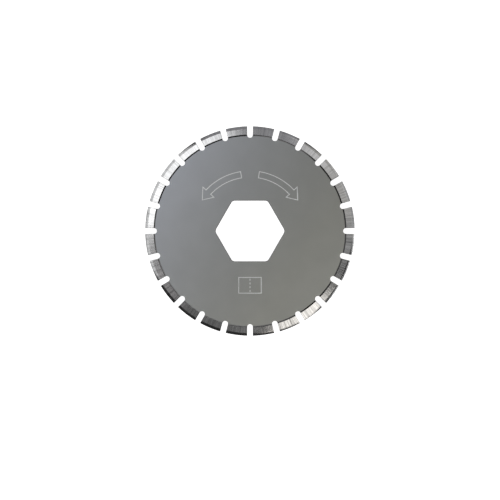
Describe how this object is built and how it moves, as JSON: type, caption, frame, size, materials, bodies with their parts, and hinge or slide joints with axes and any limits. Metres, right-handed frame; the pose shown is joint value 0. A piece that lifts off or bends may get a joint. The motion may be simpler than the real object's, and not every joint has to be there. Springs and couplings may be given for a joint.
{
  "type": "perforating rotary cutter blade",
  "caption": "Thin round steel blade with a hexagonal drive hole and slots round its ground rim, for cutting perforated lines in paper with a rotary trimmer.",
  "frame": {"origin": "centre of the hexagonal hole, in the lower flat face that the blade lies on", "axes": "+Z is the blade's axis, out of the upper flat face; +X runs through a corner of the hexagon and +Y is square to one of its flats"},
  "size_m": [0.028, 0.028, 0.0003],
  "materials": {
    "blade_steel": "satin strip steel with a ground rim"
  },
  "bodies": {
    "root": {"blade": "blade_steel"}
  },
  "joints": []
}
